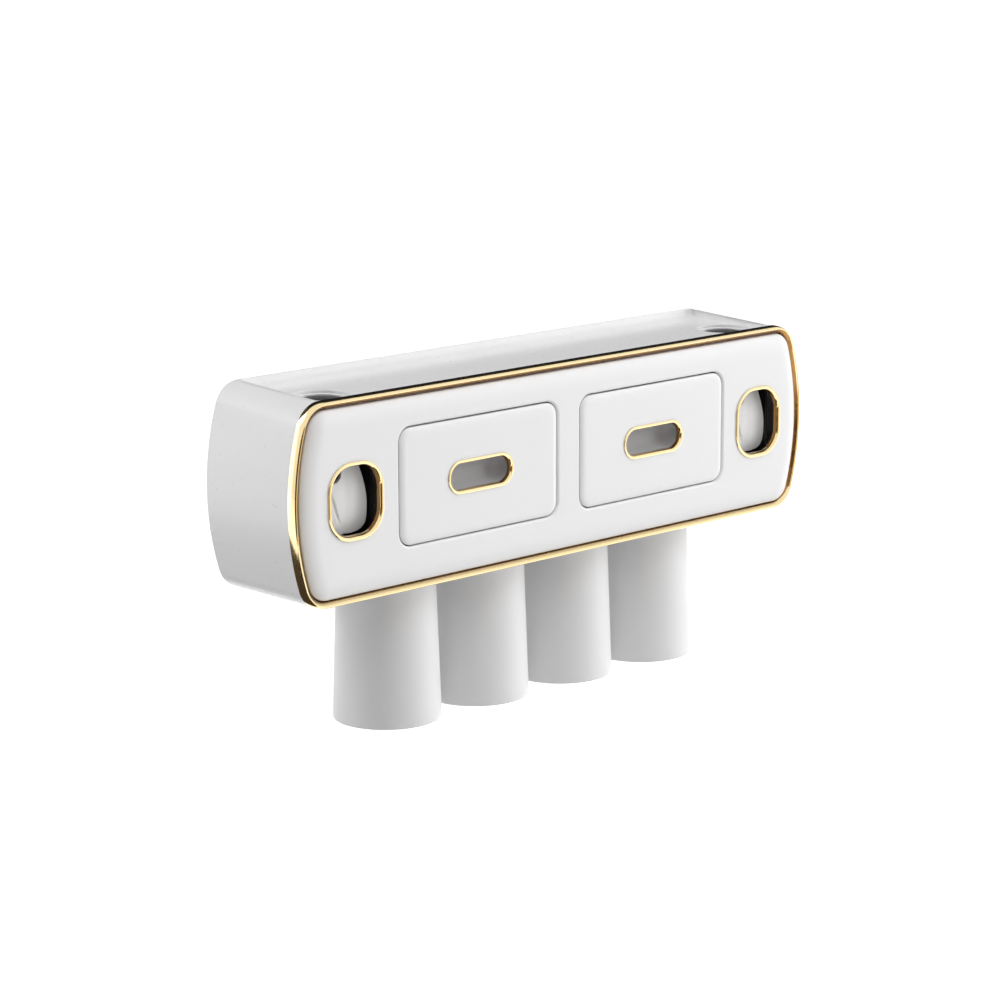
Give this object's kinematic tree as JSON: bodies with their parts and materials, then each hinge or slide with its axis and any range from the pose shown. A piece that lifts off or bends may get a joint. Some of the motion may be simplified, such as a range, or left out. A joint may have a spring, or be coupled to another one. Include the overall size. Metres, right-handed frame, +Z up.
{
  "type": "wall toothbrush holder",
  "caption": "Wall-hung white toothbrush holder with a gold-trimmed front, a tray on top, drawers, toothpaste squeezers and tumblers hung mouth down below.",
  "frame": {"origin": "on the wall, at the centre of the adhesive pad's back face", "axes": "+X to the right along the wall, +Y into the wall, +Z up"},
  "size_m": [0.37, 0.0721, 0.1812],
  "materials": {
    "wall_plate": "satin moulded plastic",
    "adhesive_pad": "soft foam tape",
    "housing": "glossy white moulded plastic",
    "back_cover": "satin white moulded plastic",
    "cover_screw_1": "zinc-plated steel",
    "cover_screw_2": "zinc-plated steel",
    "cover_screw_3": "zinc-plated steel",
    "cover_screw_4": "zinc-plated steel",
    "base_plate": "glossy white moulded plastic",
    "base_magnet_1": "nickel-plated magnet",
    "base_magnet_2": "nickel-plated magnet",
    "base_magnet_3": "nickel-plated magnet",
    "base_magnet_4": "nickel-plated magnet",
    "trim_ring": "polished pale gold plating",
    "front_plate": "glossy white moulded plastic",
    "window_rim_left": "polished pale gold plating",
    "drawer_bay_left": "satin white moulded plastic",
    "drawer_box_left": "glossy white moulded plastic",
    "drawer_front_left": "glossy white moulded plastic",
    "finger_rim_left": "polished pale gold plating",
    "squeezer_body_left": "dull black moulded plastic",
    "port_collar_left": "glossy white moulded plastic",
    "tube_sleeve_left": "dark silicone",
    "pump_bulb_left": "dark silicone",
    "hinge_pin_left": "drawn steel",
    "return_spring_left": "spring steel wire",
    "pusher_left": "glossy white moulded plastic",
    "window_rim_right": "polished pale gold plating",
    "drawer_bay_right": "satin white moulded plastic",
    "drawer_box_right": "glossy white moulded plastic",
    "drawer_front_right": "glossy white moulded plastic",
    "finger_rim_right": "polished pale gold plating",
    "squeezer_body_right": "dull black moulded plastic",
    "port_collar_right": "glossy white moulded plastic",
    "tube_sleeve_right": "dark silicone",
    "pump_bulb_right": "dark silicone",
    "hinge_pin_right": "drawn steel",
    "return_spring_right": "spring steel wire",
    "pusher_right": "glossy white moulded plastic",
    "cup_1": "white moulded plastic",
    "cup_disc_1": "steel disc",
    "cup_2": "white moulded plastic",
    "cup_disc_2": "steel disc",
    "cup_3": "white moulded plastic",
    "cup_disc_3": "steel disc",
    "cup_4": "white moulded plastic",
    "cup_disc_4": "steel disc"
  },
  "bodies": {
    "wall_fixing": {"wall_plate": "wall_plate", "adhesive_pad": "adhesive_pad"},
    "drawer_left": {"drawer_box_left": "drawer_box_left", "drawer_front_left": "drawer_front_left", "finger_rim_left": "finger_rim_left"},
    "pusher_arm_left": {"pusher_left": "pusher_left"},
    "drawer_right": {"drawer_box_right": "drawer_box_right", "drawer_front_right": "drawer_front_right", "finger_rim_right": "finger_rim_right"},
    "pusher_arm_right": {"pusher_right": "pusher_right"},
    "tumbler_1": {"cup_1": "cup_1", "cup_disc_1": "cup_disc_1"},
    "tumbler_2": {"cup_2": "cup_2", "cup_disc_2": "cup_disc_2"},
    "tumbler_3": {"cup_3": "cup_3", "cup_disc_3": "cup_disc_3"},
    "tumbler_4": {"cup_4": "cup_4", "cup_disc_4": "cup_disc_4"},
    "holder": {"housing": "housing", "back_cover": "back_cover", "cover_screw_1": "cover_screw_1", "cover_screw_2": "cover_screw_2", "cover_screw_3": "cover_screw_3", "cover_screw_4": "cover_screw_4", "base_plate": "base_plate", "base_magnet_1": "base_magnet_1", "base_magnet_2": "base_magnet_2", "base_magnet_3": "base_magnet_3", "base_magnet_4": "base_magnet_4", "trim_ring": "trim_ring", "front_plate": "front_plate", "window_rim_left": "window_rim_left", "drawer_bay_left": "drawer_bay_left", "squeezer_body_left": "squeezer_body_left", "port_collar_left": "port_collar_left", "tube_sleeve_left": "tube_sleeve_left", "pump_bulb_left": "pump_bulb_left", "hinge_pin_left": "hinge_pin_left", "return_spring_left": "return_spring_left", "window_rim_right": "window_rim_right", "drawer_bay_right": "drawer_bay_right", "squeezer_body_right": "squeezer_body_right", "port_collar_right": "port_collar_right", "tube_sleeve_right": "tube_sleeve_right", "pump_bulb_right": "pump_bulb_right", "hinge_pin_right": "hinge_pin_right", "return_spring_right": "return_spring_right"}
  },
  "joints": [
    {"name": "lift_off_wall", "type": "slide", "parent": "wall_fixing", "child": "holder", "axis": [0, 0, 1], "range_m": [0, 0.0075]},
    {"name": "drawer_slide_left", "type": "slide", "parent": "holder", "child": "drawer_left", "axis": [0, -1, 0], "range_m": [0, 0.045]},
    {"name": "drawer_slide_right", "type": "slide", "parent": "holder", "child": "drawer_right", "axis": [0, -1, 0], "range_m": [0, 0.045]},
    {"name": "pusher_hinge_left", "type": "hinge", "parent": "holder", "child": "pusher_arm_left", "pos_m": [-0.1464, -0.0586, 0.0205], "axis": [1, 0, 0], "range_deg": [0, 14], "stiffness_Nm_per_rad": 0.08, "springref_deg": -34.38, "deforming": ["pump_bulb_left"]},
    {"name": "pusher_hinge_right", "type": "hinge", "parent": "holder", "child": "pusher_arm_right", "pos_m": [0.1464, -0.0586, 0.0205], "axis": [1, 0, 0], "range_deg": [0, 14], "stiffness_Nm_per_rad": 0.08, "springref_deg": -34.38, "deforming": ["pump_bulb_right"]},
    {"name": "cup_pull_1", "type": "slide", "parent": "holder", "child": "tumbler_1", "axis": [0, 0, -1], "range_m": [0, 0.06]},
    {"name": "cup_pull_2", "type": "slide", "parent": "holder", "child": "tumbler_2", "axis": [0, 0, -1], "range_m": [0, 0.06]},
    {"name": "cup_pull_3", "type": "slide", "parent": "holder", "child": "tumbler_3", "axis": [0, 0, -1], "range_m": [0, 0.06]},
    {"name": "cup_pull_4", "type": "slide", "parent": "holder", "child": "tumbler_4", "axis": [0, 0, -1], "range_m": [0, 0.06]}
  ]
}
